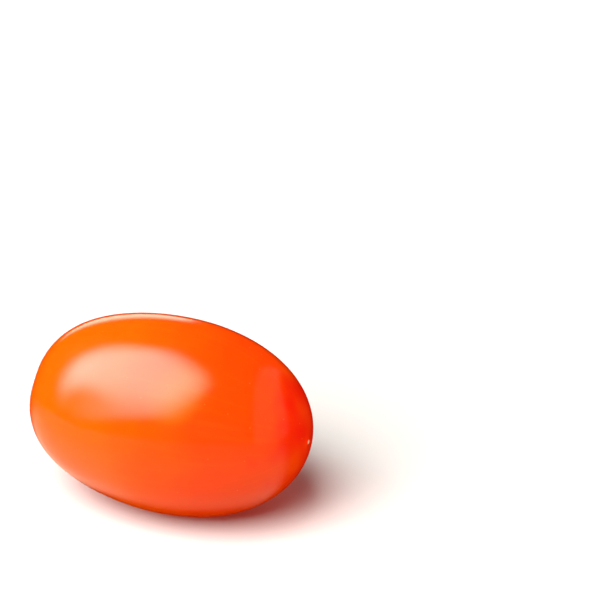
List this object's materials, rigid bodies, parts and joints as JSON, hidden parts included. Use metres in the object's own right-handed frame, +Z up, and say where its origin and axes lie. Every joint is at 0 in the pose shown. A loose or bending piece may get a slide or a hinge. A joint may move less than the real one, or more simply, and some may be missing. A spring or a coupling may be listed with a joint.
{
  "type": "plum tomato",
  "caption": "Egg-shaped plum tomato as picked, without stalk, with a shallow stem hollow and a small blossom nib, lying on its side on a small flat spot.",
  "frame": {"origin": "middle of the fruit's box on the surface that it rests on", "axes": "+X along the fruit from the stem end to the blossom end, +Y across it, +Z up"},
  "size_m": [0.0742, 0.0484, 0.049],
  "materials": {
    "skin": "smooth, waxy, glossy ripe tomato skin, red-orange, more orange at the stem end, with a matt corky scar in the stem hollow"
  },
  "bodies": {
    "root": {"tomato": "skin"}
  },
  "joints": []
}
